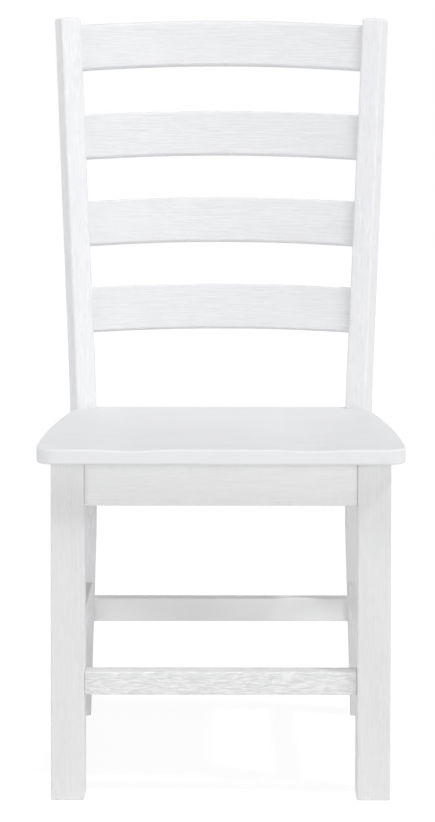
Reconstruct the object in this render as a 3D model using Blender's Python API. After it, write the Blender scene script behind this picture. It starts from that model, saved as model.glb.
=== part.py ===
"""Dining side chair with a ladder back, in white brushed solid wood.

Metres, +Z up, the front towards -Y. While the chair is modelled, y = 0 is the front face
of the front legs. At the end the whole chair is moved along Y, so that the origin lies on
the floor under the middle of its box. Left is -X, the left of someone who faces the chair.
"""

import math

import bmesh
import bpy
from mathutils import Matrix, Vector
from mathutils.geometry import intersect_line_plane, intersect_line_sphere_2d

# Fit of every joint: between faces that meet, and round each dowel, tenon and screw
GAP = 0.0003

# Seat board
SEAT_TOP = 0.4645  # floor to the flat rim
SEAT_THICKNESS = 0.0200
SEAT_HALF_WIDTH = 0.2415
SEAT_OVERHANG = 0.0250  # ahead of the front legs
SEAT_TONGUE = 0.0185  # how far the seat runs back between the posts
SEAT_SIDE_START = 0.0200  # where each side starts to curve in
SEAT_SIDE_RADIUS = 2.7300
SEAT_CORNER_RADIUS = 0.0270
SEAT_NOTCH_RADIUS = 0.0080
SEAT_TOP_ROUNDING = 0.0045
SEAT_BOTTOM_ROUNDING = 0.0030

# The two hollows for the thighs, carved into the seat's top face
HOLLOW_CENTRE = 0.1170  # from the seat's middle
HOLLOW_FRONT_HALF_WIDTH = 0.0440
HOLLOW_MIDDLE_HALF_WIDTH = 0.0980
HOLLOW_FRONT_DEPTH = 0.0036
HOLLOW_MIDDLE_DEPTH = 0.0068
HOLLOW_MIDDLE = 0.2000  # where the hollows are deepest
HOLLOW_MARGIN = 0.0155  # from where they run out to the seat's rear edge

# Front legs, square
LEG_SIDE = 0.0436
LEG_OUTER = 0.2218  # chair's middle to the leg's outer face
LEG_ROUNDING = 0.0018

# Back posts: sawn to a bent outline, and toed in so that they face the sitter
POST_WIDTH = 0.0312
POST_DEPTH = 0.0450  # between the two bends
POST_TOP_DEPTH = 0.0420
POST_FOOT_DEPTH = 0.0380
POST_INNER = 0.1818  # chair's middle to the front inner corner, at the seat
POST_FRONT = 0.4020  # front legs' front face to the same corner
BACK_HEIGHT = 0.5755  # seat's rim to the posts' tops
POST_TOE = math.radians(17.0)
POST_ROUNDING = 0.0040
UPPER_BEND_RISE = 0.0105  # seat's rim to the upper bend
UPPER_SLOPE = 0.1750  # run back per metre of height above the upper bend
LOWER_BEND = 0.2900  # floor to the lower bend
LOWER_SLOPE = 0.1250
BEND_BLEND = 0.0350  # half the height of each bend's curve

# Back slats, from the top down: posts' tops to each upper end, and rise of each middle
SLAT_DROPS = (0.0091, 0.1447, 0.2732, 0.3999)
SLAT_RISES = (0.0140, 0.0117, 0.0106, 0.0086)
CREST_WIDTH = 0.0692
SLAT_WIDTH = 0.0664
SLAT_THICKNESS = 0.0180
SLAT_SETBACK = 0.0100  # behind the posts' front faces
SLAT_ROUNDING = 0.0030
CREST_TOP_ROUNDING = 0.0065

# Aprons under the seat
APRON_HEIGHT = 0.0575
APRON_THICKNESS = 0.0200
FRONT_APRON_SETBACK = 0.0040
BACK_APRON_SETBACK = 0.0030
RAIL_ROUNDING = 0.0018

# Stretchers near the floor: height of the lower face, height and thickness of the bar
FRONT_STRETCHER = (0.1371, 0.0300, 0.0280)
BACK_STRETCHER = (0.1430, 0.0343, 0.0240)
SIDE_STRETCHER = (0.1770, 0.0280, 0.0220)
FRONT_STRETCHER_SETBACK = 0.0090
BACK_STRETCHER_SETBACK = 0.0115

# Tenons on the slats and stretchers
TENON_LENGTH = 0.0150
TENON_ROOT = 0.0100  # how far the tenon's block reaches back into its own bar
TENON_SHARE = 0.45  # of the bar's thickness
TENON_SHOULDER = 0.0050  # above and below a stretcher's tenon
SLAT_TENON_SHOULDER = 0.0110

# Dowels in the apron joints
DOWEL_RADIUS = 0.0040
DOWEL_LENGTH = 0.0360
DOWEL_CHAMFER = 0.0010
DOWEL_WALL = 0.0021  # wood left between the levels of two dowels
DOWEL_SIDES = 10

# Corner blocks and their screws
BLOCK_REACH = 0.0500  # inner corner of the aprons to the block's near edge
BLOCK_THICKNESS = 0.0220
BLOCK_HEIGHT = 0.0350
BLOCK_ROUNDING = 0.0010
BLOCK_SCREW_SHARE = 0.6  # a screw's place past the near edge, as a share of the thickness
SCREW_RADIUS = 0.0021
SCREW_HEAD_RADIUS = 0.0043
SCREW_HEAD_HEIGHT = 0.0028
SCREW_HEAD_CURVE = ((0.55, 1.0), (0.9, 0.7), (1.0, 0.3))  # shares of its radius and height
SCREW_POINT = 0.0050
BLOCK_SCREW_LENGTH = 0.0300
SEAT_SCREW_BITE = 0.0110  # how far a seat screw goes into the seat
SCREW_SIDES = 8

# Number of flats that make each long curve
BEND_STEPS = 6
SLAT_STEPS = 22
SEAT_SIDE_STEPS = 6
SEAT_COLUMNS = 22
SEAT_ROWS = 16

SEAT_BOTTOM = SEAT_TOP - SEAT_THICKNESS
SEAT_BACK = POST_FRONT + SEAT_TONGUE
HOLLOW_BACK = SEAT_BACK - HOLLOW_MARGIN
FRAME_TOP = SEAT_BOTTOM - GAP
POST_HEIGHT = SEAT_TOP + BACK_HEIGHT
UPPER_BEND = SEAT_TOP + UPPER_BEND_RISE
LEG_INNER = LEG_OUTER - LEG_SIDE
LEG_CENTRE = LEG_OUTER - LEG_SIDE / 2
APRON = (FRAME_TOP - APRON_HEIGHT, APRON_HEIGHT, APRON_THICKNESS)
APRON_MIDDLE = FRAME_TOP - APRON_HEIGHT / 2
DOWEL_STEP = 2 * DOWEL_RADIUS + 2 * GAP + DOWEL_WALL
SIDES = (("left", -1), ("right", 1))
UP = Vector((0, 0, 1))

for startup_object in list(bpy.data.objects):
    bpy.data.objects.remove(startup_object)


def finish(name, colour, roughness, metallic=0.0):
    """A material for one kind of sub-part."""
    material = bpy.data.materials.new(name)
    material.use_nodes = True
    shader = material.node_tree.nodes["Principled BSDF"]
    shader.inputs["Base Color"].default_value = (*colour, 1.0)
    shader.inputs["Roughness"].default_value = roughness
    shader.inputs["Metallic"].default_value = metallic
    return material


def new_object(name, bm):
    bmesh.ops.recalc_face_normals(bm, faces=bm.faces)
    mesh = bpy.data.meshes.new(name)
    bm.to_mesh(mesh)
    bm.free()
    made = bpy.data.objects.new(name, mesh)
    bpy.context.scene.collection.objects.link(made)
    return made


def piece(name, bm, material, place=None):
    """One sub-part of the chair, smooth except at its sharp edges."""
    made = new_object(name, bm)
    made.data.materials.append(material)
    made.data.shade_smooth()
    made.data.set_sharp_from_angle(angle=math.radians(32))
    made.matrix_world = place or Matrix()
    return made


def shaping_tool(name, bm, place):
    """A hidden solid that a Boolean adds to a piece or cuts from it."""
    made = new_object(name, bm)
    made.matrix_world = place
    made.hide_render = True
    made.display_type = "WIRE"
    return made


def combine(made, operation, tool):
    modifier = made.modifiers.new(tool.name, "BOOLEAN")
    modifier.operation = operation
    modifier.object = tool


def axes(point, along, up):
    """A place at point, with local X along the first direction and local Z near the second."""
    x = along.normalized()
    y = up.cross(x).normalized()
    z = x.cross(y)
    return Matrix.Translation(point) @ Matrix((x, y, z)).transposed().to_4x4()


def box(low, high):
    bm = bmesh.new()
    bmesh.ops.create_cube(bm, size=1.0)
    size = Vector(high) - Vector(low)
    bmesh.ops.scale(bm, vec=size, verts=bm.verts)
    bmesh.ops.translate(bm, vec=(Vector(high) + Vector(low)) / 2, verts=bm.verts)
    return bm


def round_edges(bm, edges, radius, segments=2):
    bmesh.ops.bevel(
        bm, geom=edges, offset=radius, segments=segments, profile=0.5, affect="EDGES", material=-1
    )


def trim(bm, point, outward):
    """Cuts everything past the plane away, and closes the end."""
    geometry = bm.verts[:] + bm.edges[:] + bm.faces[:]
    bmesh.ops.bisect_plane(
        bm, geom=geometry, dist=1e-7, plane_co=point, plane_no=outward, clear_outer=True
    )
    bmesh.ops.holes_fill(bm, edges=[edge for edge in bm.edges if edge.is_boundary])


def corner_arc(before, corner, after, radius, steps):
    """The points that round one corner of an outline off."""
    back, on = (before - corner).normalized(), (after - corner).normalized()
    half = back.angle(on) / 2
    centre = corner + (back + on).normalized() * (radius / math.sin(half))
    reach = radius / math.tan(half)
    start = (corner + back * reach - centre).normalized()
    end = (corner + on * reach - centre).normalized()
    return [centre + start.slerp(end, step / steps) * radius for step in range(steps + 1)]


def rounded_outline(corners, steps):
    """A closed outline from (point, radius) corners, with an arc at each that has a radius."""
    points = [Vector(point) for point, radius in corners]
    outline = []
    for index, (point, radius) in enumerate(corners):
        if radius:
            after = points[(index + 1) % len(points)]
            outline += corner_arc(points[index - 1], points[index], after, radius, steps)
        else:
            outline.append(points[index])
    return outline


def turned(profile, sides):
    """A solid of revolution about Z, from (radius, height) points that start and end on the axis."""
    bm = bmesh.new()
    points = [bm.verts.new((radius, 0, height)) for radius, height in profile]
    edges = [bm.edges.new(pair) for pair in zip(points, points[1:])]
    bmesh.ops.spin(
        bm, geom=points + edges, cent=(0, 0, 0), axis=(0, 0, 1), angle=math.tau, steps=sides,
        use_merge=True,
    )
    bmesh.ops.remove_doubles(bm, verts=bm.verts, dist=1e-6)
    return bm


# Post geometry. In a post's own frame x runs outwards across its front face, y back
# along its depth and z up, from the front inner corner.


def bend(past, slope):
    """The run back, at this height past a bend, of a post that is straight before it."""
    into = past + BEND_BLEND
    if into <= 0:
        return 0.0
    if into < 2 * BEND_BLEND:
        return slope * into * into / (4 * BEND_BLEND)
    return slope * past


def rake(z):
    return bend(z - UPPER_BEND, UPPER_SLOPE) + bend(LOWER_BEND - z, LOWER_SLOPE)


def post_depth(z):
    if z > UPPER_BEND:
        share = (z - UPPER_BEND) / (POST_HEIGHT - UPPER_BEND)
        return POST_DEPTH + (POST_TOP_DEPTH - POST_DEPTH) * share
    if z < LOWER_BEND:
        return POST_DEPTH + (POST_FOOT_DEPTH - POST_DEPTH) * (1 - z / LOWER_BEND)
    return POST_DEPTH


def across(side):
    """Direction outwards across a post's front face, square to its inner face."""
    return Vector((side * math.cos(POST_TOE), -math.sin(POST_TOE), 0))


def backwards(side):
    """Direction back along a post's inner face."""
    return Vector((side * math.sin(POST_TOE), math.cos(POST_TOE), 0))


def post_point(side, w, t, z):
    corner = Vector((side * POST_INNER, POST_FRONT, z))
    return corner + across(side) * w + backwards(side) * t


def post_climb(side, z):
    """Direction up along a post's front face."""
    small = 1e-4
    run = (rake(z + small) - rake(z - small)) / (2 * small)
    return (UP + backwards(side) * run).normalized()


def post_front_plane(side, z):
    """The face that a side rail ends at, and the direction into the post."""
    inward = across(side).cross(post_climb(side, z)) * -side
    return post_point(side, 0, rake(z) - GAP, z), inward


def post_inner_plane(side):
    """The face that a slat or a back rail ends at, and the direction into the post."""
    return post_point(side, -GAP, 0, 0), across(side)


def post_levels():
    """Heights of the outline's points: the two ends, and both bends' curves."""
    curve = [BEND_BLEND * (2 * step / BEND_STEPS - 1) for step in range(BEND_STEPS + 1)]
    return (
        [0.0]
        + [LOWER_BEND + offset for offset in curve]
        + [UPPER_BEND + offset for offset in curve]
        + [POST_HEIGHT]
    )


def back_post(word, side):
    bm = bmesh.new()
    levels = post_levels()
    outline = [(rake(z), z) for z in levels]
    outline += [(rake(z) + post_depth(z), z) for z in reversed(levels)]
    bm.faces.new([bm.verts.new((0, t, z)) for t, z in outline])
    grown = bmesh.ops.extrude_face_region(bm, geom=bm.faces[:])["geom"]
    moved = [item for item in grown if isinstance(item, bmesh.types.BMVert)]
    bmesh.ops.translate(bm, vec=(side * POST_WIDTH, 0, 0), verts=moved)

    def is_rounded(edge):
        ends = [vert.co for vert in edge.verts]
        runs_across = abs(ends[0].x - ends[1].x) > 1e-6
        at_top = min(end.z for end in ends) > POST_HEIGHT - 1e-6
        at_foot = max(end.z for end in ends) < 1e-6
        return at_top or not (runs_across or at_foot)

    round_edges(bm, [edge for edge in bm.edges if is_rounded(edge)], POST_ROUNDING)
    place = Matrix.Translation((side * POST_INNER, POST_FRONT, 0))
    place @= Matrix.Rotation(-side * POST_TOE, 4, "Z")
    return piece(f"back_post_{word}", bm, post_finish, place)


# Legs and rails


def front_leg(word, side):
    bm = box((-LEG_SIDE / 2, 0, 0), (LEG_SIDE / 2, LEG_SIDE, FRAME_TOP))
    round_edges(bm, bm.edges[:], LEG_ROUNDING)
    place = Matrix.Translation((side * LEG_CENTRE, 0, 0))
    return piece(f"front_leg_{word}", bm, leg_finish, place)


def rail(name, ends, size, planes, material):
    """A straight bar between two points in plan, trimmed where it meets what it joins.

    Its size is the height of its lower face, then its own height and thickness.
    """
    low, height, thickness = size
    start, end = (Vector((*point, low + height / 2)) for point in ends)
    place = axes((start + end) / 2, end - start, UP)
    half = (end - start).length / 2 + thickness
    bm = box((-half, -thickness / 2, -height / 2), (half, thickness / 2, height / 2))
    long_edges = [
        edge for edge in bm.edges if abs(edge.verts[0].co.x - edge.verts[1].co.x) > half
    ]
    round_edges(bm, long_edges, RAIL_ROUNDING)
    to_local = place.inverted()
    for point, outward in planes:
        trim(bm, to_local @ point, to_local.to_3x3() @ outward)
    return piece(name, bm, material, place)


def rail_end(made, direction, plane, height):
    """Where a rail's middle line, at this height, passes through a plane."""
    start = made.matrix_world.translation.copy()
    start.z = height
    return intersect_line_plane(start, start + direction, plane[0], plane[1])


def leg_inner_plane(side):
    return Vector((side * (LEG_INNER - GAP), 0, 0)), Vector((side, 0, 0))


def leg_back_plane():
    return Vector((0, LEG_SIDE + GAP, 0)), Vector((0, -1, 0))


def middle_height(size):
    low, height, _ = size
    return low + height / 2


def cross_rail(name, front_y, size, planes, material):
    """A rail along X, with its front face at this depth."""
    middle = front_y + size[2] / 2
    ends = ((-LEG_INNER, middle), (LEG_INNER, middle))
    return rail(name, ends, size, planes, material)


def side_rail(name, side, size, material):
    """A rail from the back of a front leg to the middle of a post's front face."""
    z = middle_height(size)
    back = post_point(side, POST_WIDTH / 2, rake(z), z)
    ends = ((side * LEG_CENTRE, LEG_SIDE), (back.x, back.y))
    planes = (leg_back_plane(), post_front_plane(side, z))
    return rail(name, ends, size, planes, material)


# Joints


def tenon(made, host, point, along, up, thickness, height):
    """A tenon on the end of one piece, and the mortise for it in the other."""
    place = axes(point, along, up)
    half = Vector((0, thickness / 2, height / 2))
    loose = half + Vector((0, GAP, GAP))
    tongue = box((-TENON_ROOT, -half.y, -half.z), (TENON_LENGTH, half.y, half.z))
    socket = box((-TENON_ROOT, -loose.y, -loose.z), (TENON_LENGTH + GAP, loose.y, loose.z))
    name = f"{made.name}_{host.name}"
    combine(made, "UNION", shaping_tool(f"tenon_{name}", tongue, place))
    combine(host, "DIFFERENCE", shaping_tool(f"mortise_{name}", socket, place))


def dowel(name, made, host, point, along):
    """A dowel across a joint, with half its length in each of the two pieces."""
    half, radius, chamfer = DOWEL_LENGTH / 2, DOWEL_RADIUS, DOWEL_CHAMFER
    profile = (
        (0, -half), (radius - chamfer, -half), (radius, chamfer - half),
        (radius, half - chamfer), (radius - chamfer, half), (0, half),
    )
    hole = ((0, -half - GAP), (radius + GAP, -half - GAP), (radius + GAP, half + GAP), (0, half + GAP))
    place = axes(point, along, UP) @ Matrix.Rotation(math.pi / 2, 4, "Y")
    piece(name, turned(profile, DOWEL_SIDES), dowel_finish, place)
    tool = shaping_tool(f"hole_{name}", turned(hole, DOWEL_SIDES), place)
    combine(made, "DIFFERENCE", tool)
    combine(host, "DIFFERENCE", tool)


def screw(name, hosts, point, along, length):
    """A pan-head screw, whose head rests where it starts, with a hole for it in its hosts."""
    radius, head, rise = SCREW_RADIUS, SCREW_HEAD_RADIUS, SCREW_HEAD_HEIGHT
    dome = [(head * out, -rise * up) for out, up in SCREW_HEAD_CURVE]
    shank = [(head, 0), (radius, 0), (radius, length - SCREW_POINT), (0, length)]
    profile = [(0, -rise), *dome, *shank]
    wide, end = radius + GAP, length + GAP
    hole = ((0, -GAP), (wide, -GAP), (wide, end), (0, end))
    place = axes(point, along, UP if abs(along.z) < 0.5 else Vector((0, 1, 0)))
    place @= Matrix.Rotation(math.pi / 2, 4, "Y")
    piece(name, turned(profile, SCREW_SIDES), screw_finish, place)
    tool = shaping_tool(f"hole_{name}", turned(hole, SCREW_SIDES), place)
    for host in hosts:
        combine(host, "DIFFERENCE", tool)


def way_out(made, plane):
    """A rail's own direction, out through the plane that ends it."""
    along = made.matrix_world.to_3x3() @ Vector((1, 0, 0))
    return along if along.dot(plane[1]) > 0 else -along


def dowel_pair(made, host, plane, levels):
    """Two dowels across the end of an apron, at these steps from its mid-height."""
    along = way_out(made, plane)
    for word, level in zip(("lower", "upper"), levels):
        point = rail_end(made, along, plane, APRON_MIDDLE + level * DOWEL_STEP)
        dowel(f"dowel_{made.name}_{host.name}_{word}", made, host, point, along)


def stretcher_tenon(made, host, plane, size):
    along = way_out(made, plane)
    point = rail_end(made, along, plane, middle_height(size))
    _, height, thickness = size
    tenon(made, host, point, along, UP, thickness * TENON_SHARE, height - 2 * TENON_SHOULDER)


# Back slats


def slat(name, top, width, rise, top_rounding, posts):
    """A bent board between the posts, square to their inner faces and leaning with them."""
    tilt = math.atan(UPPER_SLOPE / math.cos(POST_TOE))
    z = top - width / 2 * math.cos(tilt)
    end = post_point(1, 0, rake(z) + SLAT_SETBACK, z)
    radius = end.x / math.sin(POST_TOE)
    centre = Vector((0, -radius * math.cos(POST_TOE), 0))
    half, thick = width / 2, SLAT_THICKNESS
    section = rounded_outline(
        (
            ((0, -half), SLAT_ROUNDING), ((thick, -half), SLAT_ROUNDING),
            ((thick, half), top_rounding), ((0, half), top_rounding),
        ),
        3,
    )
    bm = bmesh.new()
    ring = [bm.verts.new((0, centre.y + radius + u, v)) for u, v in section]
    edges = [bm.edges.new((ring[index - 1], ring[index])) for index in range(len(ring))]
    spread = POST_TOE * 1.1  # a little over length, before the ends are trimmed
    turn = Matrix.Rotation(-spread, 3, "Z")
    bmesh.ops.rotate(bm, cent=centre, matrix=turn, verts=ring)
    bmesh.ops.spin(
        bm, geom=ring + edges, cent=centre, axis=(0, 0, 1), angle=2 * spread,
        steps=SLAT_STEPS, use_merge=False,
    )
    for vert in bm.verts:
        vert.co.z += rise * (1 - (vert.co.x / end.x) ** 2)
    place = Matrix.Translation((0, end.y, z)) @ Matrix.Rotation(-tilt, 4, "X")
    to_local = place.inverted()
    for side in (-1, 1):
        point, outward = post_inner_plane(side)
        trim(bm, to_local @ point, to_local.to_3x3() @ outward)
    made = piece(name, bm, slat_finish, place)
    for side, host in zip((-1, 1), posts):
        middle = post_point(side, -GAP, rake(z) + SLAT_SETBACK + thick / 2, z)
        height = width - 2 * SLAT_TENON_SHOULDER
        tenon(made, host, middle, across(side), post_climb(side, z), thick * TENON_SHARE, height)
    return made


# Seat


def hollow(x, y):
    """How deep the seat's top face is carved here."""
    share = min(max((y + SEAT_OVERHANG) / (HOLLOW_MIDDLE + SEAT_OVERHANG), 0), 1)
    share = share * share * (3 - 2 * share)
    depth = HOLLOW_FRONT_DEPTH + (HOLLOW_MIDDLE_DEPTH - HOLLOW_FRONT_DEPTH) * share
    reach = HOLLOW_FRONT_HALF_WIDTH + (HOLLOW_MIDDLE_HALF_WIDTH - HOLLOW_FRONT_HALF_WIDTH) * share
    fade = min(max((HOLLOW_BACK - y) / (HOLLOW_BACK - HOLLOW_MIDDLE), 0), 1)
    aside = min(abs(abs(x) - HOLLOW_CENTRE) / reach, 1)
    return depth * fade * fade * (3 - 2 * fade) * math.cos(aside * math.pi / 2) ** 2


def seat_outline():
    """The seat in plan, notched round the two posts."""
    front, back, wide = -SEAT_OVERHANG, SEAT_BACK, SEAT_HALF_WIDTH
    inner = post_point(1, -GAP, -GAP, 0).to_2d()
    outwards, rearwards = across(1).to_2d(), backwards(1).to_2d()
    arc_centre = Vector((wide - SEAT_SIDE_RADIUS, SEAT_SIDE_START))
    corner = max(
        intersect_line_sphere_2d(inner, inner + outwards, arc_centre, SEAT_SIDE_RADIUS, False),
        key=lambda point: point.x,
    )
    tongue = inner + rearwards * ((back - inner.y) / rearwards.y)
    half = [((wide, front), SEAT_CORNER_RADIUS), ((wide, SEAT_SIDE_START), 0)]
    last = math.asin((corner.y - SEAT_SIDE_START) / SEAT_SIDE_RADIUS)
    for step in range(1, SEAT_SIDE_STEPS):
        turn = last * step / SEAT_SIDE_STEPS
        arc = Vector((math.cos(turn), math.sin(turn))) * SEAT_SIDE_RADIUS + arc_centre
        half.append((arc, 0))
    half += [(corner, SEAT_NOTCH_RADIUS), (inner, 0), (tongue, 0)]
    mirrored = [(Vector((-point[0], point[1])), radius) for point, radius in reversed(half)]
    return rounded_outline(half + mirrored, 5)


def cut_grid(bm, faces, normal, places):
    """Cuts the faces along a row of planes, so that they can take a curved surface."""
    for place in places:
        edges = {edge for face in faces for edge in face.edges}
        verts = {vert for face in faces for vert in face.verts}
        geometry = list(faces) + list(edges) + list(verts)
        result = bmesh.ops.bisect_plane(
            bm, geom=geometry, dist=1e-6, plane_co=normal * place, plane_no=normal
        )
        faces = {item for item in result["geom"] if isinstance(item, bmesh.types.BMFace)}
    return faces


def seat():
    bm = bmesh.new()
    bm.faces.new([bm.verts.new((x, y, SEAT_BOTTOM)) for x, y in seat_outline()])
    grown = bmesh.ops.extrude_face_region(bm, geom=bm.faces[:])["geom"]
    moved = [item for item in grown if isinstance(item, bmesh.types.BMVert)]
    bmesh.ops.translate(bm, vec=(0, 0, SEAT_THICKNESS), verts=moved)

    def rim(level):
        return [e for e in bm.edges if all(abs(v.co.z - level) < 1e-6 for v in e.verts)]

    round_edges(bm, rim(SEAT_TOP), SEAT_TOP_ROUNDING, 3)
    round_edges(bm, rim(SEAT_BOTTOM), SEAT_BOTTOM_ROUNDING)
    middle = (SEAT_TOP + SEAT_BOTTOM) / 2
    faces = {face for face in bm.faces if min(v.co.z for v in face.verts) > middle}
    width, depth = 2 * SEAT_HALF_WIDTH, SEAT_BACK + SEAT_OVERHANG
    columns = [width * (step / SEAT_COLUMNS - 0.5) for step in range(1, SEAT_COLUMNS)]
    rows = [depth * step / SEAT_ROWS - SEAT_OVERHANG for step in range(1, SEAT_ROWS)]
    faces = cut_grid(bm, faces, Vector((1, 0, 0)), columns)
    cut_grid(bm, faces, Vector((0, 1, 0)), rows)
    for vert in bm.verts:
        if vert.co.z > middle:
            vert.co.z -= hollow(vert.co.x, vert.co.y)
    return piece("seat", bm, seat_finish)


# Corner blocks


def inner_face(made):
    """In plan, a point on the face of an apron that looks into the chair, and its directions."""
    place = made.matrix_world
    along = place.to_3x3() @ Vector((1, 0, 0))
    inwards = place.to_3x3() @ Vector((0, 1, 0))
    if inwards.dot(chair_middle - place.translation) < 0:
        inwards = -inwards
    point = place.translation + inwards * (APRON_THICKNESS / 2)
    return point.to_2d(), along.to_2d(), inwards.to_2d()


def corner_block(name, cross_apron, side_apron, the_seat):
    """A glued and screwed brace across the corner of two aprons, which also holds the seat."""
    (p1, d1, n1), (p2, d2, n2) = inner_face(cross_apron), inner_face(side_apron)
    corner = p1 + d1 * ((p2 - p1).dot(n2) / d1.dot(n2))
    d1 = d1 if d1.dot(n2) > 0 else -d1
    d2 = d2 if d2.dot(n1) > 0 else -d2
    first, second = corner + d1 * BLOCK_REACH, corner + d2 * BLOCK_REACH
    along = (second - first).to_3d().normalized()
    inwards = Vector((-along.y, along.x, 0))
    if inwards.to_2d().dot(first - corner) < 0:
        inwards = -inwards
    middle = ((first + second) / 2).to_3d() + inwards * (BLOCK_THICKNESS / 2)
    middle.z = FRAME_TOP - BLOCK_HEIGHT / 2
    place = axes(middle, along, UP)
    half = (second - first).length / 2 + 2 * BLOCK_THICKNESS
    size = Vector((half, BLOCK_THICKNESS / 2, BLOCK_HEIGHT / 2))
    bm = box(-size, size)
    round_edges(bm, bm.edges[:], BLOCK_ROUNDING, 1)
    to_local = place.inverted()
    for point, normal in ((p1, n1), (p2, n2)):
        face = (point + normal * GAP).to_3d()
        trim(bm, to_local @ face, to_local.to_3x3() @ -normal.to_3d())
    made = piece(name, bm, block_finish, place)
    seat_face = middle + inwards * (BLOCK_THICKNESS / 2 + GAP)
    foot = BLOCK_REACH + BLOCK_THICKNESS * BLOCK_SCREW_SHARE
    for word, direction, host in (("a", d1, cross_apron), ("b", d2, side_apron)):
        entry = (corner + direction * foot).to_3d()
        entry.z = middle.z
        head = intersect_line_plane(entry, entry + inwards, seat_face, inwards)
        screw(f"screw_{name}_{word}", (made, host), head, -inwards, BLOCK_SCREW_LENGTH)
    under = middle.copy()
    under.z = FRAME_TOP - BLOCK_HEIGHT - GAP
    length = BLOCK_HEIGHT + 2 * GAP + SEAT_SCREW_BITE
    screw(f"seat_screw_{name}", (made, the_seat), under, UP, length)


# Finishes

WHITE = (0.80, 0.81, 0.83)
seat_finish = finish("seat_paint", WHITE, 0.42)
leg_finish = finish("leg_paint", WHITE, 0.55)
post_finish = finish("post_paint", WHITE, 0.55)
slat_finish = finish("slat_paint", WHITE, 0.55)
apron_finish = finish("apron_paint", WHITE, 0.55)
stretcher_finish = finish("stretcher_paint", WHITE, 0.55)
block_finish = finish("block_wood", (0.55, 0.40, 0.26), 0.75)
dowel_finish = finish("dowel_beech", (0.62, 0.46, 0.31), 0.70)
screw_finish = finish("screw_steel", (0.55, 0.54, 0.50), 0.35, 1.0)

# Assembly

chair_middle = Vector((0, (POST_FRONT + LEG_SIDE) / 2, 0))
the_seat = seat()
legs = [front_leg(word, side) for word, side in SIDES]
posts = [back_post(word, side) for word, side in SIDES]

slat_names = ("crest_slat", "upper_slat", "middle_slat", "lower_slat")
for slat_name, slat_drop, slat_rise in zip(slat_names, SLAT_DROPS, SLAT_RISES):
    is_crest = slat_name == "crest_slat"
    slat_width = CREST_WIDTH if is_crest else SLAT_WIDTH
    rounding = CREST_TOP_ROUNDING if is_crest else SLAT_ROUNDING
    slat(slat_name, POST_HEIGHT - slat_drop, slat_width, slat_rise, rounding, posts)

leg_planes = [leg_inner_plane(side) for word, side in SIDES]
post_planes = [post_inner_plane(side) for word, side in SIDES]
front_apron = cross_rail("front_apron", FRONT_APRON_SETBACK, APRON, leg_planes, apron_finish)
back_apron = cross_rail(
    "back_apron", POST_FRONT + BACK_APRON_SETBACK, APRON, post_planes, apron_finish
)
for leg, post, leg_plane, post_plane in zip(legs, posts, leg_planes, post_planes):
    dowel_pair(front_apron, leg, leg_plane, (-0.5, 0.5))
    dowel_pair(back_apron, post, post_plane, (-0.5, 0.5))

front_stretcher = cross_rail(
    "front_stretcher", FRONT_STRETCHER_SETBACK, FRONT_STRETCHER, leg_planes, stretcher_finish
)
post_face = post_point(1, 0, rake(middle_height(BACK_STRETCHER)), 0).y
back_stretcher = cross_rail(
    "back_stretcher", post_face + BACK_STRETCHER_SETBACK, BACK_STRETCHER, post_planes,
    stretcher_finish,
)
for leg, post, leg_plane, post_plane in zip(legs, posts, leg_planes, post_planes):
    stretcher_tenon(front_stretcher, leg, leg_plane, FRONT_STRETCHER)
    stretcher_tenon(back_stretcher, post, post_plane, BACK_STRETCHER)

for (word, side), leg, post in zip(SIDES, legs, posts):
    side_apron = side_rail(f"side_apron_{word}", side, APRON, apron_finish)
    dowel_pair(side_apron, leg, leg_back_plane(), (-1.5, 1.5))
    dowel_pair(side_apron, post, post_front_plane(side, APRON_MIDDLE), (-1.5, 1.5))
    bar = side_rail(f"side_stretcher_{word}", side, SIDE_STRETCHER, stretcher_finish)
    stretcher_tenon(bar, leg, leg_back_plane(), SIDE_STRETCHER)
    stretcher_tenon(
        bar, post, post_front_plane(side, middle_height(SIDE_STRETCHER)), SIDE_STRETCHER
    )
    corner_block(f"corner_block_front_{word}", front_apron, side_apron, the_seat)
    corner_block(f"corner_block_back_{word}", back_apron, side_apron, the_seat)

bpy.context.view_layer.update()
depths = [
    (made.matrix_world @ vert.co).y
    for made in bpy.data.objects
    if not made.hide_render
    for vert in made.data.vertices
]
for made in bpy.data.objects:
    made.location.y -= (min(depths) + max(depths)) / 2
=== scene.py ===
import math

import bmesh
import bpy
from mathutils import Matrix, Vector
from mathutils.geometry import intersect_line_sphere_2d


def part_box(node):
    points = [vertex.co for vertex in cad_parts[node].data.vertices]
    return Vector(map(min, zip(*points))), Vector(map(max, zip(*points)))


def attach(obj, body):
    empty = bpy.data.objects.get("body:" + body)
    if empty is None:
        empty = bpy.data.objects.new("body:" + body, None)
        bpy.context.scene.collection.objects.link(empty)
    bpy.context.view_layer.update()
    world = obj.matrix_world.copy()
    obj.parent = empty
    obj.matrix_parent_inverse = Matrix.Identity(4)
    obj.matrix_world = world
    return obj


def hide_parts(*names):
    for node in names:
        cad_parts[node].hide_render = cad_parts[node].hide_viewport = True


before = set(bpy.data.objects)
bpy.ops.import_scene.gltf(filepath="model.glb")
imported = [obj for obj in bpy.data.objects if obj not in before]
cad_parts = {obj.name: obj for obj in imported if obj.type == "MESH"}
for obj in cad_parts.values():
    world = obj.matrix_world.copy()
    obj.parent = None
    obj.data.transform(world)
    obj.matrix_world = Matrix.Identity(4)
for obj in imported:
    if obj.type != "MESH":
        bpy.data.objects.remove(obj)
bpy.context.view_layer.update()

# Back posts
# Each is sawn in one length from a solid board, bent back above the seat and below it, and
# toed in so that it faces the sitter. White paint over wood whose grain was wire-brushed.

post_toe = math.radians(17.0)
upper_bend, upper_slope = 0.4750, 0.1750
lower_bend, lower_slope = 0.2900, 0.1250
bend_blend = 0.0350
bend_steps = 12
post_depth, post_top_depth, post_foot_depth = 0.0450, 0.0420, 0.0380
post_rounding = 0.0040
sharp_corner = math.radians(60)
# Points that are closer together than a hair count as one
hair = 1e-6

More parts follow.
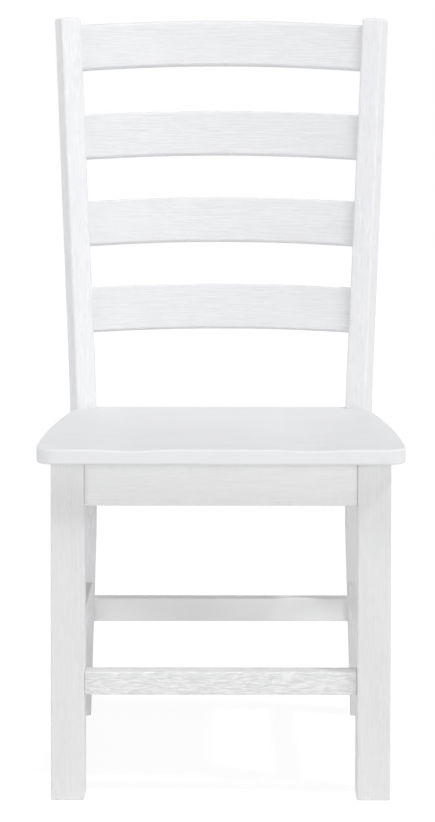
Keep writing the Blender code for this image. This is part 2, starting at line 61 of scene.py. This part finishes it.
post_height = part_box("back_post_right")[1].z
toed_points = [
    Matrix.Rotation(post_toe, 3, "Z") @ vert.co
    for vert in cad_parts["back_post_right"].data.vertices
]
post_inner_x = min(point.x for point in toed_points)
post_front_y = min(point.y for point in toed_points)
post_width = max(point.x for point in toed_points) - post_inner_x


def run_back(past, slope):
    """How far a post has bent back, this far past the middle of a bend."""
    into = min(max(past + bend_blend, 0.0), 2 * bend_blend)
    straight = max(past - bend_blend, 0.0)
    return slope * (into * into / (4 * bend_blend) + straight)


def rake(z):
    """How far a post's front stands back at this height."""
    return run_back(z - upper_bend, upper_slope) + run_back(lower_bend - z, lower_slope)


def depth_at(z):
    """A post's depth from front to back, which lessens towards its top and its foot."""
    above = max(z - upper_bend, 0.0) / (post_height - upper_bend)
    below = max(lower_bend - z, 0.0) / lower_bend
    return post_depth + (post_top_depth - post_depth) * above + (post_foot_depth - post_depth) * below


def on_post(side, across, back, z):
    """A point of a post, from the front edge of its inner face."""
    toed = Vector((side * (post_inner_x + across), post_front_y + back, z))
    return Matrix.Rotation(-side * post_toe, 3, "Z") @ toed


def outwards(side):
    """Straight through a post's inner face, away from the chair's middle."""
    return Matrix.Rotation(-side * post_toe, 3, "Z") @ Vector((side, 0, 0))


grain_turns = {"X": (0, 0, 0), "Y": (0, 0, -math.pi / 2), "Z": (0, math.pi / 2, 0)}


def brushed_paint(name, colour, grain, contrast, fleck_share, coarse, across_y=1.0, roughness=0.44):
    """White paint that follows the brushed grain below it: long furrows, and shorter wavy flecks.

    The grain runs along one axis. Contrast is how far the paint's tone moves in the furrows,
    coarse how many times as far in the roughest spots, and fleck_share how much of them are
    flecks. On a piece that bends away from its grain axis, a low across_y keeps them whole.
    """
    material = bpy.data.materials.new(name)
    material.use_nodes = True
    nodes, links = material.node_tree.nodes, material.node_tree.links
    shader = nodes["Principled BSDF"]
    shader.inputs["Specular IOR Level"].default_value = 0.35
    place = nodes.new("ShaderNodeTexCoord")
    board = nodes.new("ShaderNodeMapping")
    board.inputs["Rotation"].default_value = grain_turns[grain]
    links.new(place.outputs["Object"], board.inputs["Vector"])

    def streaks(along, across, detail, distortion=0.0, shift=(0, 0, 0)):
        """Noise drawn out along the grain, with this many waves in a metre each way."""
        scale = nodes.new("ShaderNodeMapping")
        scale.inputs["Scale"].default_value = (along, across * across_y, across)
        scale.inputs["Location"].default_value = shift
        links.new(board.outputs["Vector"], scale.inputs["Vector"])
        node = nodes.new("ShaderNodeTexNoise")
        node.inputs["Scale"].default_value = 1.0
        node.inputs["Detail"].default_value = detail
        node.inputs["Distortion"].default_value = distortion
        links.new(scale.outputs["Vector"], node.inputs["Vector"])
        return node.outputs["Fac"]

    def mapped(value, low, high, to_low=0.0, to_high=1.0):
        """A value moved from one range to another, and held inside it."""
        node = nodes.new("ShaderNodeMapRange")
        for socket, number in zip(node.inputs[1:5], (low, high, to_low, to_high)):
            socket.default_value = number
        links.new(value, node.inputs["Value"])
        return node.outputs["Result"]

    def worked(operation, first, second):
        node = nodes.new("ShaderNodeMath")
        node.operation = operation
        links.new(first, node.inputs[0])
        links.new(second, node.inputs[1])
        return node.outputs["Value"]

    long_noise = streaks(along=24.0, across=500.0, detail=2.0)
    furrows = mapped(long_noise, 0.3, 0.7)
    short_noise = streaks(along=66.0, across=430.0, detail=1.0, distortion=0.7, shift=(3, 1, 2))
    flecks = mapped(short_noise, 0.36, 0.64)
    surface = nodes.new("ShaderNodeMix")
    surface.inputs["Factor"].default_value = fleck_share
    links.new(furrows, surface.inputs["A"])
    links.new(flecks, surface.inputs["B"])
    height = surface.outputs["Result"]

    furrow_depth = 0.006 * contrast
    bump = nodes.new("ShaderNodeBump")
    bump.inputs["Distance"].default_value = furrow_depth
    links.new(height, bump.inputs["Height"])
    links.new(bump.outputs["Normal"], shader.inputs["Normal"])

    tone = mapped(height, 0.0, 1.0, -contrast, contrast)
    spot_noise = streaks(along=12.0, across=45.0, detail=1.0, shift=(7, 3, 4))
    coarse_spots = mapped(spot_noise, 0.46, 0.62, 1.0, coarse)
    cloud_noise = streaks(along=4.0, across=22.0, detail=2.0, shift=(1, 5, 2))
    clouds = mapped(cloud_noise, 0.3, 0.7, 0.985, 1.015)
    shade = nodes.new("ShaderNodeVectorMath")
    shade.operation = "SCALE"
    shade.inputs[0].default_value = colour
    links.new(worked("ADD", clouds, worked("MULTIPLY", tone, coarse_spots)), shade.inputs["Scale"])
    links.new(shade.outputs["Vector"], shader.inputs["Base Color"])
    swing = 0.06
    gloss = mapped(height, 0.0, 1.0, roughness + swing, roughness - swing)
    links.new(gloss, shader.inputs["Roughness"])
    return material


crease_angle = math.radians(40)


def finished(name, bm, paint, slot, *nodes):
    """A finished piece, in place of the plain solids of these names."""
    bmesh.ops.recalc_face_normals(bm, faces=bm.faces)
    mesh = bpy.data.meshes.new(name)
    bm.to_mesh(mesh)
    bm.free()
    mesh.materials.append(paint)
    mesh.shade_smooth()
    mesh.set_sharp_from_angle(angle=crease_angle)
    made = bpy.data.objects.new(name, mesh)
    bpy.context.scene.collection.objects.link(made)
    flat_faces_first = made.modifiers.new("flat_faces_first", "WEIGHTED_NORMAL")
    flat_faces_first.keep_sharp = True
    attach(made, "root")
    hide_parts(*nodes)


def block_of_wood(low, high):
    """A square-cut block between two opposite corners."""
    bm = bmesh.new()
    bmesh.ops.create_cube(bm, size=1.0)
    bmesh.ops.scale(bm, vec=Vector(high) - Vector(low), verts=bm.verts)
    bmesh.ops.translate(bm, vec=(Vector(high) + Vector(low)) / 2, verts=bm.verts)
    return bm


eased_segments = 4


def ease(bm, edges, radius):
    """Round these edges over."""
    bmesh.ops.bevel(
        bm, geom=edges, offset=radius, segments=eased_segments, profile=0.5, affect="EDGES",
        material=-1,
    )


def saw(bm, point, outward, keep_both=False):
    """A saw cut along a plane, which drops what lies outwards of it, or only marks the cut."""
    geometry = bm.verts[:] + bm.edges[:] + bm.faces[:]
    bmesh.ops.bisect_plane(
        bm, geom=geometry, dist=hair, plane_co=point, plane_no=outward, clear_outer=not keep_both
    )
    if not keep_both:
        bmesh.ops.holes_fill(bm, edges=[edge for edge in bm.edges if edge.is_boundary])


# Every kind of piece gets its own tone of the same white paint, a little lighter or darker to even out
# how much light falls on it: these differences are painted light and shade.
post_paint = brushed_paint(
    "brushed_posts", (0.782, 0.785, 0.798), grain="Z", contrast=0.03, fleck_share=0.45, coarse=2.8,
    across_y=0.12,
)
for word, side in (("left", -1), ("right", 1)):
    bm = block_of_wood((0, 0, 0), (post_width, 1, post_height))
    for middle in (lower_bend, upper_bend):
        for step in range(bend_steps + 1):
            level = middle + bend_blend * (2 * step / bend_steps - 1)
            saw(bm, (0, 0, level), (0, 0, 1), keep_both=True)
    for vert in bm.verts:
        vert.co.y = rake(vert.co.z) + vert.co.y * depth_at(vert.co.z)
    long_edges = [
        edge for edge in bm.edges
        if abs(edge.verts[0].co.z - edge.verts[1].co.z) > hair and edge.calc_face_angle() > sharp_corner
    ]
    top_edges = [
        edge for edge in bm.edges if min(vert.co.z for vert in edge.verts) > post_height - hair
    ]
    ease(bm, long_edges + top_edges, post_rounding)
    bmesh.ops.scale(bm, vec=(side, 1, 1), verts=bm.verts)
    bmesh.ops.translate(bm, vec=(side * post_inner_x, post_front_y, 0), verts=bm.verts)
    bmesh.ops.rotate(
        bm, cent=(0, 0, 0), matrix=Matrix.Rotation(-side * post_toe, 3, "Z"), verts=bm.verts
    )
    finished(f"finished_back_post_{word}", bm, post_paint, "post_paint", f"back_post_{word}")

# Back slats
# Four painted boards, bent to the curve of the sitter's back, arched along their edges and
# tenoned into the posts. They lean with the posts, and the crest has a softer top edge.

slat_paint = brushed_paint(
    "brushed_slats", (0.748, 0.751, 0.764), grain="X", contrast=0.035, fleck_share=0.3, coarse=1.8,
    across_y=0.04,
)
slat_thickness = 0.0180
slat_setback = 0.0100
slat_rounding = 0.0030
crest_rounding = 0.0065
slat_lean = math.atan(upper_slope / math.cos(post_toe))
overlong = 1.1
half_sweep = post_toe * overlong
bow_steps = 48
shortest_run = slat_thickness / 4
# Name, how far its ends are below the posts' tops, width, rise of the arch, top rounding
slat_sizes = (
    ("crest_slat", 0.0091, 0.0692, 0.0140, crest_rounding),
    ("upper_slat", 0.1447, 0.0664, 0.0117, slat_rounding),
    ("middle_slat", 0.2732, 0.0664, 0.0106, slat_rounding),
    ("lower_slat", 0.3999, 0.0664, 0.0086, slat_rounding),
)
# The fine gap left where two pieces meet
fit = 0.0003

for node, below_post_top, width, rise, top_rounding in slat_sizes:
    middle = post_height - below_post_top - width / 2 * math.cos(slat_lean)
    end = on_post(1, 0, rake(middle) + slat_setback, middle)
    radius = end.x / math.sin(post_toe)
    centre = Vector((0, -radius * math.cos(post_toe), 0))
    front = centre.y + radius
    bm = bmesh.new()
    corners = ((front, -width / 2), (front + slat_thickness, -width / 2),
               (front + slat_thickness, width / 2), (front, width / 2))
    board_end = bm.faces.new([bm.verts.new((0, y, z)) for y, z in corners])
    bmesh.ops.rotate(bm, cent=centre, matrix=Matrix.Rotation(-half_sweep, 3, "Z"), verts=bm.verts)
    bmesh.ops.spin(
        bm, geom=[board_end, *board_end.edges, *board_end.verts], cent=centre, axis=(0, 0, 1),
        angle=2 * half_sweep, steps=bow_steps, use_merge=False,
    )
    along_board = [
        edge for edge in bm.edges if abs(edge.verts[0].co.x - edge.verts[1].co.x) > shortest_run
    ]
    top = [edge for edge in along_board if edge.verts[0].co.z > 0]
    bottom = [edge for edge in along_board if edge.verts[0].co.z < 0]
    ease(bm, top, top_rounding)
    bottom = [edge for edge in bottom if edge.is_valid]
    ease(bm, bottom, slat_rounding)
    for vert in bm.verts:
        vert.co.z += rise * (1 - (vert.co.x / end.x) ** 2)
    bmesh.ops.rotate(bm, cent=(0, 0, 0), matrix=Matrix.Rotation(-slat_lean, 3, "X"), verts=bm.verts)
    bmesh.ops.translate(bm, vec=(0, end.y, middle), verts=bm.verts)
    for side in (-1, 1):
        saw(bm, on_post(side, -fit, 0, 0), outwards(side))
    finished(f"finished_{node}", bm, slat_paint, "slat_paint", node)

# Back apron and back stretcher
# Straight painted bars between the posts: the apron under the rear of the seat, dowelled in,
# and the stretcher low down, tenoned in. Their ends are sawn to the posts' toed inner faces.

apron_paint = brushed_paint(
    "brushed_aprons", (0.787, 0.788, 0.792), grain="X", contrast=0.025, fleck_share=0.4, coarse=1.8
)
# The back stretcher's paint is set much lighter than any other piece's: painted light, making up for
# the shade it stands in under the seat.
painted_light_smooth_paint = brushed_paint(
    "smooth_stretcher_painted_light", (0.910, 0.911, 0.915), grain="X", contrast=0.01, fleck_share=0.2, coarse=1.0
)
bar_rounding = 0.0018


def eased_bar(low, high):
    """A straight bar along X with its four long edges eased."""
    bm = block_of_wood(low, high)
    half = (high[0] - low[0]) / 2
    ease(bm, [e for e in bm.edges if abs(e.verts[0].co.x - e.verts[1].co.x) > half], bar_rounding)
    return bm


for word, paint in (("apron", apron_paint), ("stretcher", painted_light_smooth_paint)):
    bm = eased_bar(*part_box(f"back_{word}"))
    for side in (-1, 1):
        saw(bm, on_post(side, -fit, 0, 0), outwards(side))
    finished(f"finished_back_{word}", bm, paint, f"{word}_paint", f"back_{word}")

# Front legs
# Square legs sawn and planed from solid wood, then brushed and painted like the posts. All
# their edges are lightly eased, the flat feet's too, and the aprons are dowelled into them.

# The legs' paint is set darker than the other pieces': painted shade, for the lower light that falls on
# them.
leg_paint = brushed_paint(
    "brushed_legs_painted_shade", (0.730, 0.731, 0.735), grain="Z", contrast=0.025, fleck_share=0.45, coarse=2.0
)
leg_rounding = 0.0018
for word in ("left", "right"):
    bm = block_of_wood(*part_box(f"front_leg_{word}"))
    ease(bm, bm.edges[:], leg_rounding)
    finished(f"finished_front_leg_{word}", bm, leg_paint, "leg_paint", f"front_leg_{word}")

# Front apron and front stretcher
# Straight painted bars between the legs, the apron dowelled in and the stretcher tenoned. The
# stretcher was cut near the heart of its board, so its figure is the boldest of the chair.

bold_paint = brushed_paint(
    "bold_stretcher", (0.762, 0.763, 0.767), grain="X", contrast=0.09, fleck_share=0.9, coarse=1.3
)
leg_inner_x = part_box("front_leg_right")[0].x - fit
for word, paint in (("apron", apron_paint), ("stretcher", bold_paint)):
    low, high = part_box(f"front_{word}")
    low.x, high.x = -leg_inner_x, leg_inner_x
    bm = eased_bar(low, high)
    finished(f"finished_front_{word}", bm, paint, f"{word}_paint", f"front_{word}")

# Side aprons and side stretchers
# Painted bars, dowelled or tenoned into the back of each front leg and the front of its post.
# They run a little out of square, because the posts stand closer together than the legs.

side_paint = brushed_paint(
    "brushed_sides", (0.770, 0.771, 0.775), grain="Y", contrast=0.025, fleck_share=0.4, coarse=1.8
)
side_apron_thickness, side_stretcher_thickness = 0.0200, 0.0220
step_up = 0.0010
leg_back_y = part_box("front_leg_right")[1].y
leg_middle_x = sum(corner.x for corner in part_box("front_leg_right")) / 2
for rail, thickness in (("apron", side_apron_thickness), ("stretcher", side_stretcher_thickness)):
    for word, side in (("left", -1), ("right", 1)):
        low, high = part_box(f"side_{rail}_{word}")
        level = (low.z + high.z) / 2
        start = Vector((side * leg_middle_x, leg_back_y, level))
        end = on_post(side, post_width / 2, rake(level), level)
        length = (end - start).length + 2 * thickness
        size = Vector((length, thickness, high.z - low.z)) / 2
        bm = eased_bar(-size, size)
        turn = (end - start).to_2d().angle_signed(Vector((1, 0)))
        bmesh.ops.rotate(bm, cent=(0, 0, 0), matrix=Matrix.Rotation(turn, 3, "Z"), verts=bm.verts)
        bmesh.ops.translate(bm, vec=(start + end) / 2, verts=bm.verts)
        saw(bm, start + Vector((0, fit, 0)), (0, -1, 0))
        lower_point = on_post(side, 0, rake(level), level)
        climb = on_post(side, 0, rake(level + step_up), level + step_up) - lower_point
        saw(bm, on_post(side, 0, rake(level) - fit, level), side * climb.cross(outwards(side)))
        finished(
            f"finished_side_{rail}_{word}", bm, side_paint, f"{rail}_paint", f"side_{rail}_{word}"
        )

# Dowels
# Beech pins, in pairs across the ends of each apron. They are glued into the apron and into the
# leg or post beside it, and nothing shows of them once the chair is together.


def bare_wood(name, colour, ring_scale):
    """Unpainted wood, with rings, short pores and sawn end grain."""
    material = bpy.data.materials.new(name)
    material.use_nodes = True
    nodes, links = material.node_tree.nodes, material.node_tree.links
    shader = nodes["Principled BSDF"]
    shader.inputs["Roughness"].default_value = 0.72
    place = nodes.new("ShaderNodeTexCoord")
    drawn_out = nodes.new("ShaderNodeMapping")
    drawn_out.inputs["Scale"].default_value = (0.25, 1.0, 1.0)
    links.new(place.outputs["Object"], drawn_out.inputs["Vector"])
    rings = nodes.new("ShaderNodeTexWave")
    rings.wave_type = "RINGS"
    rings.rings_direction = "X"
    rings.inputs["Scale"].default_value = ring_scale
    rings.inputs["Distortion"].default_value = 5.0
    links.new(drawn_out.outputs["Vector"], rings.inputs["Vector"])
    pores = nodes.new("ShaderNodeTexNoise")
    pores.inputs["Scale"].default_value = 600.0
    links.new(drawn_out.outputs["Vector"], pores.inputs["Vector"])
    darkest, lightest = 0.78, 1.12
    ramp = nodes.new("ShaderNodeValToRGB")
    ramp.color_ramp.elements[0].color = (*(channel * darkest for channel in colour), 1)
    ramp.color_ramp.elements[1].color = (*(min(channel * lightest, 1) for channel in colour), 1)
    blend = nodes.new("ShaderNodeMath")
    blend.operation = "MULTIPLY"
    links.new(rings.outputs["Fac"], blend.inputs[0])
    links.new(pores.outputs["Fac"], blend.inputs[1])
    links.new(blend.outputs["Value"], ramp.inputs["Fac"])
    links.new(ramp.outputs["Color"], shader.inputs["Base Color"])
    bump = nodes.new("ShaderNodeBump")
    bump.inputs["Strength"].default_value = 0.4
    bump.inputs["Distance"].default_value = 0.0004
    links.new(blend.outputs["Value"], bump.inputs["Height"])
    links.new(bump.outputs["Normal"], shader.inputs["Normal"])
    return material


def refinish(kind, material):
    """Give the plain solids of one kind this material."""
    for name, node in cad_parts.items():
        if name.startswith(kind):
            node.data.materials.clear()
            node.data.materials.append(material)


beech = bare_wood("bare_beech", (0.62, 0.46, 0.31), ring_scale=90.0)
refinish("dowel_", beech)

# Corner blocks
# Braces of bare hardwood across the four corners under the seat. Each is glued and screwed to
# the two aprons that meet there, and the seat is screwed down to it from below.

hardwood = bare_wood("bare_hardwood", (0.55, 0.40, 0.26), ring_scale=60.0)
refinish("corner_block_", hardwood)

# Screws
# Zinc-plated steel, with a pan head and a star recess. Two go through each corner block into
# the aprons, and one goes up through it into the seat.

zinc = bpy.data.materials.new("zinc_plate")
zinc.use_nodes = True
zinc_nodes, zinc_links = zinc.node_tree.nodes, zinc.node_tree.links
zinc_shader = zinc_nodes["Principled BSDF"]
zinc_shader.inputs["Metallic"].default_value = 1.0
spangle = zinc_nodes.new("ShaderNodeTexNoise")
spangle.inputs["Scale"].default_value = 900.0
spangle_place = zinc_nodes.new("ShaderNodeTexCoord")
zinc_links.new(spangle_place.outputs["Object"], spangle.inputs["Vector"])
zinc_tone = zinc_nodes.new("ShaderNodeValToRGB")
zinc_tone.color_ramp.elements[0].color = (0.48, 0.46, 0.40, 1)
zinc_tone.color_ramp.elements[1].color = (0.66, 0.65, 0.60, 1)
zinc_links.new(spangle.outputs["Fac"], zinc_tone.inputs["Fac"])
zinc_links.new(zinc_tone.outputs["Color"], zinc_shader.inputs["Base Color"])
zinc_rough = zinc_nodes.new("ShaderNodeMapRange")
zinc_rough.inputs["To Min"].default_value = 0.25
zinc_rough.inputs["To Max"].default_value = 0.45
zinc_links.new(spangle.outputs["Fac"], zinc_rough.inputs["Value"])
zinc_links.new(zinc_rough.outputs["Result"], zinc_shader.inputs["Roughness"])

head_radius, head_height, shank_radius = 0.0043, 0.0028, 0.0021
rim_height = head_height * 0.35
shoulder_radius, shoulder_height = head_radius * 0.88, head_height * 0.78
flat_radius = head_radius * 0.62
screw_point = 0.0050
recess_radius, recess_depth = 0.0019, 0.0014
star_lobes, star_waist = 4, 0.72
screw_sides = 24


def only_verts(geometry):
    """The vertices in what an operator gives back."""
    return [item for item in geometry if isinstance(item, bmesh.types.BMVert)]


for name in [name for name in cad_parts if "screw_corner_block" in name]:
    points = [vert.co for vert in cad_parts[name].data.vertices]
    middle = sum(points, Vector()) / len(points)
    tip = max(points, key=lambda point: (point - middle).length)
    along = (tip - middle).normalized()
    head_top = min(points, key=lambda point: (point - tip).dot(along))
    length = (tip - head_top).dot(along) - head_height
    bm = bmesh.new()
    profile = [
        (flat_radius, head_height), (shoulder_radius, shoulder_height), (head_radius, rim_height),
        (head_radius, 0), (shank_radius, 0), (shank_radius, screw_point - length), (0, -length),
    ]
    line = [bm.verts.new((radius, 0, height)) for radius, height in profile]
    edges = [bm.edges.new(pair) for pair in zip(line, line[1:])]
    bmesh.ops.spin(
        bm, geom=line + edges, cent=(0, 0, 0), axis=(0, 0, 1), angle=math.tau, steps=screw_sides,
        use_merge=True,
    )
    bmesh.ops.remove_doubles(bm, verts=bm.verts, dist=hair)
    lid = bmesh.ops.holes_fill(bm, edges=[edge for edge in bm.edges if edge.is_boundary])["faces"]
    bmesh.ops.inset_region(bm, faces=lid, thickness=flat_radius - recess_radius)
    star = sorted(lid[0].verts, key=lambda vert: math.atan2(vert.co.y, vert.co.x))
    for index, vert in enumerate(star):
        lobe = 0.5 + 0.5 * math.cos(index * math.tau / star_lobes)
        vert.co.xy *= star_waist + (1 - star_waist) * lobe
    deeper = bmesh.ops.extrude_face_region(bm, geom=lid)["geom"]
    bmesh.ops.translate(bm, vec=(0, 0, -recess_depth), verts=only_verts(deeper))
    bmesh.ops.delete(bm, geom=[face for face in lid if face.is_valid], context="FACES_ONLY")
    turn = Vector((0, 0, -1)).rotation_difference(along).to_matrix().to_4x4()
    bmesh.ops.transform(bm, matrix=Matrix.Translation(tip - along * length) @ turn, verts=bm.verts)
    finished(f"finished_{name}", bm, zinc, "screw_steel", name)

# Seat
# One thick panel of boards glued edge to edge, notched round the posts, with two hollows
# carved for the thighs. Its paint is rubbed smoother than the frame's.

seat_low, seat_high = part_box("seat")
seat_top, seat_bottom = seat_high.z, seat_low.z
seat_front, seat_back = seat_low.y, seat_high.y
seat_half_width = seat_high.x
side_start = seat_front + 0.0450
side_radius = 2.7300
corner_radius, notch_radius = 0.0270, 0.0080
seat_top_rounding, seat_bottom_rounding = 0.0028, 0.0030
hollow_centre = 0.1170
hollow_front_half_width, hollow_middle_half_width = 0.0520, 0.0980
hollow_front_depth, hollow_middle_depth = 0.0021, 0.0068
hollow_middle = seat_front + 0.2250
hollow_back = seat_back - 0.0155
shortest_flank = 0.2000
side_cuts, corner_segments = 24, 8
strips_across, strips_back = 70, 64


def eased_share(share):
    """A share from 0 to 1 that starts and ends gently."""
    share = min(max(share, 0.0), 1.0)
    return share * share * (3 - 2 * share)


def hollow(x, y):
    """How deep the seat is carved here."""
    share = eased_share((y - seat_front) / (hollow_middle - seat_front))
    depth = hollow_front_depth + (hollow_middle_depth - hollow_front_depth) * share
    reach = hollow_front_half_width + (hollow_middle_half_width - hollow_front_half_width) * share
    fade = eased_share((hollow_back - y) / (hollow_back - hollow_middle))
    aside = min(abs(abs(x) - hollow_centre) / reach, 1.0)
    return depth * fade * math.cos(aside * math.pi / 2) ** 2


def side_reach(y):
    """Half the seat's width, where its sides curve in towards the back."""
    past = max(y - side_start, 0.0)
    return seat_half_width - side_radius + math.sqrt(side_radius * side_radius - past * past)


seat_paint = brushed_paint(
    "rubbed_seat", (0.768, 0.772, 0.783), grain="X", contrast=0.006, fleck_share=0.2, coarse=1.5,
    roughness=0.5,
)
notch_inner = on_post(1, -fit, -fit, 0).to_2d()
notch_across = outwards(1).to_2d()
arc_centre = Vector((seat_half_width - side_radius, side_start))
notch_outer = max(
    intersect_line_sphere_2d(notch_inner, notch_inner + notch_across, arc_centre, side_radius, False),
    key=lambda point: point.x,
)
notch_back = Vector((-notch_across.y, notch_across.x))
tongue = notch_inner + notch_back * ((seat_back - notch_inner.y) / notch_back.y)
right_half = [(seat_half_width, seat_front), notch_outer, notch_inner, tongue]
left_half = [(-x, y) for x, y in reversed(right_half)]
bm = bmesh.new()
bm.faces.new([bm.verts.new((x, y, seat_bottom)) for x, y in right_half + left_half])


def round_corners(radius, corners):
    """Round corners of the panel's outline, while it is still flat."""
    bmesh.ops.bevel(
        bm, geom=corners, offset=radius, segments=corner_segments, profile=0.5, affect="VERTICES",
        material=-1,
    )


round_corners(corner_radius, [vert for vert in bm.verts if vert.co.y < seat_front + hair])
flanks = [
    edge for edge in bm.edges
    if max(vert.co.y for vert in edge.verts) > notch_outer.y - hair
    and edge.calc_length() > shortest_flank and edge.verts[0].co.x * edge.verts[1].co.x > 0
]
curved = bmesh.ops.subdivide_edges(bm, edges=flanks, cuts=side_cuts)["geom_inner"]
for vert in only_verts(curved):
    vert.co.x = math.copysign(side_reach(vert.co.y), vert.co.x)
round_corners(
    notch_radius,
    [v for v in bm.verts if (Vector((abs(v.co.x), v.co.y)) - notch_outer).length < hair],
)
grown = bmesh.ops.extrude_face_region(bm, geom=bm.faces[:])["geom"]
bmesh.ops.translate(bm, vec=(0, 0, seat_top - seat_bottom), verts=only_verts(grown))
for level, radius in ((seat_top, seat_top_rounding), (seat_bottom, seat_bottom_rounding)):
    ease(bm, [e for e in bm.edges if all(abs(v.co.z - level) < hair for v in e.verts)], radius)
carved = (seat_top + seat_bottom) / 2
for strips, direction, start, end in (
    (strips_across, Vector((1, 0, 0)), -seat_half_width, seat_half_width),
    (strips_back, Vector((0, 1, 0)), seat_front, seat_back),
):
    for step in range(1, strips):
        faces = [face for face in bm.faces if min(vert.co.z for vert in face.verts) > carved]
        edges = {edge for face in faces for edge in face.edges}
        verts = {vert for face in faces for vert in face.verts}
        geometry = faces + list(edges) + list(verts)
        place = direction * (start + (end - start) * step / strips)
        bmesh.ops.bisect_plane(bm, geom=geometry, dist=hair, plane_co=place, plane_no=direction)
for vert in bm.verts:
    if vert.co.z > carved:
        vert.co.z -= hollow(vert.co.x, vert.co.y)
finished("finished_seat", bm, seat_paint, "seat_paint", "seat")

# Floor and studio light
# A white floor, and a backdrop that lights the chair most from near the horizon. Four lamps
# add to it: a key from the upper right, a steep one, and softer ones at the front and left.

floor_half_width = 12.0
floor_bm = bmesh.new()
bmesh.ops.create_grid(floor_bm, x_segments=1, y_segments=1, size=floor_half_width)
floor_mesh = bpy.data.meshes.new("floor")
floor_bm.to_mesh(floor_mesh)
floor_bm.free()
floor = bpy.data.objects.new("floor", floor_mesh)
bpy.context.scene.collection.objects.link(floor)
floor_paint = bpy.data.materials.new("floor_paint")
floor_paint.use_nodes = True
floor_mesh.materials.append(floor_paint)


def seen_directly(tree):
    """1 where the camera, or a reflection or refraction, looks at the background."""
    path = tree.nodes.new("ShaderNodeLightPath")
    either = tree.nodes.new("ShaderNodeMath")
    either.operation = "MAXIMUM"
    tree.links.new(path.outputs["Is Camera Ray"], either.inputs[0])
    tree.links.new(path.outputs["Is Glossy Ray"], either.inputs[1])
    also = tree.nodes.new("ShaderNodeMath")
    also.operation = "MAXIMUM"
    tree.links.new(either.outputs["Value"], also.inputs[0])
    tree.links.new(path.outputs["Is Transmission Ray"], also.inputs[1])
    return also.outputs["Value"]


tree = floor_paint.node_tree
tree.nodes.clear()
lit = tree.nodes.new("ShaderNodeBsdfDiffuse")
lit.inputs["Color"].default_value = (0.85, 0.85, 0.85, 1)
shadowed = tree.nodes.new("ShaderNodeBsdfDiffuse")
shadowed.inputs["Color"].default_value = (0.15, 0.15, 0.15, 1)
glow = tree.nodes.new("ShaderNodeEmission")
glow.inputs["Strength"].default_value = 0.9
backdrop = tree.nodes.new("ShaderNodeAddShader")
tree.links.new(shadowed.outputs["BSDF"], backdrop.inputs[0])
tree.links.new(glow.outputs["Emission"], backdrop.inputs[1])
pick = tree.nodes.new("ShaderNodeMixShader")
tree.links.new(seen_directly(tree), pick.inputs["Fac"])
tree.links.new(lit.outputs["BSDF"], pick.inputs[1])
tree.links.new(backdrop.outputs["Shader"], pick.inputs[2])
floor_out = tree.nodes.new("ShaderNodeOutputMaterial")
tree.links.new(pick.outputs["Shader"], floor_out.inputs["Surface"])

studio = bpy.data.worlds.new("studio")
bpy.context.scene.world = studio
studio.use_nodes = True
tree = studio.node_tree
tree.nodes.clear()
direction = tree.nodes.new("ShaderNodeTexCoord")
split = tree.nodes.new("ShaderNodeSeparateXYZ")
tree.links.new(direction.outputs["Generated"], split.inputs["Vector"])
dimmer = tree.nodes.new("ShaderNodeMapRange")
dimmer.inputs["From Max"].default_value = 0.5
dimmer.inputs["To Min"].default_value = 1.86
dimmer.inputs["To Max"].default_value = 0.2
tree.links.new(split.outputs["Z"], dimmer.inputs["Value"])
ring = tree.nodes.new("ShaderNodeBackground")
ring.inputs["Color"].default_value = (1, 1, 1, 1)
tree.links.new(dimmer.outputs["Result"], ring.inputs["Strength"])
white = tree.nodes.new("ShaderNodeBackground")
white.inputs["Color"].default_value = (1, 1, 1, 1)
pick = tree.nodes.new("ShaderNodeMixShader")
tree.links.new(seen_directly(tree), pick.inputs["Fac"])
tree.links.new(ring.outputs["Background"], pick.inputs[1])
tree.links.new(white.outputs["Background"], pick.inputs[2])
world_out = tree.nodes.new("ShaderNodeOutputWorld")
tree.links.new(pick.outputs["Shader"], world_out.inputs["Surface"])

# Name, strength, spread in degrees, and where the light comes from
for name, energy, spread, toward in (
    ("key", 0.95, 3, (0.48, -0.27, 0.84)),
    ("high_light", 0.90, 8, (0, -0.22, 0.975)),
    ("front_light", 0.35, 13, (0.50, -0.85, 0.17)),
    ("left_light", 0.24, 24, (-0.80, -0.55, 0.22)),
):
    lamp = bpy.data.lights.new(name, "SUN")
    lamp.energy = energy
    lamp.angle = math.radians(spread)
    stand = bpy.data.objects.new(name, lamp)
    stand.rotation_euler = Vector(toward).to_track_quat("Z", "Y").to_euler()
    bpy.context.scene.collection.objects.link(stand)

# Camera
# The photograph's view, from straight in front and level with the upper slats. The camera is
# turned down a little, and a shift of its lens brings the whole chair into the frame.

photo_width, photo_height = 435, 822
focal_pixels = 2368.4
eye_height = 0.9022
eye_distance = 3.0635
middle_column = 221.3
look_down, tip_right = math.radians(2.308), math.radians(0.067)
lens_drop = 0.25
camera_data = bpy.data.cameras.new("camera")
camera_data.sensor_width = 36.0
camera_data.lens = focal_pixels / photo_height * camera_data.sensor_width
camera_data.shift_x = (photo_width / 2 - middle_column) / photo_height
camera_data.shift_y = -lens_drop
camera = bpy.data.objects.new("camera", camera_data)
camera.location = (0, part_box("front_leg_left")[0].y - eye_distance, eye_height)
aim = Matrix.Rotation(math.pi / 2 - look_down, 3, "X") @ Matrix.Rotation(tip_right, 3, "Z")
camera.rotation_euler = aim.to_euler()
bpy.context.scene.collection.objects.link(camera)
bpy.context.scene.camera = camera

bpy.context.scene.view_settings.view_transform = "Standard"
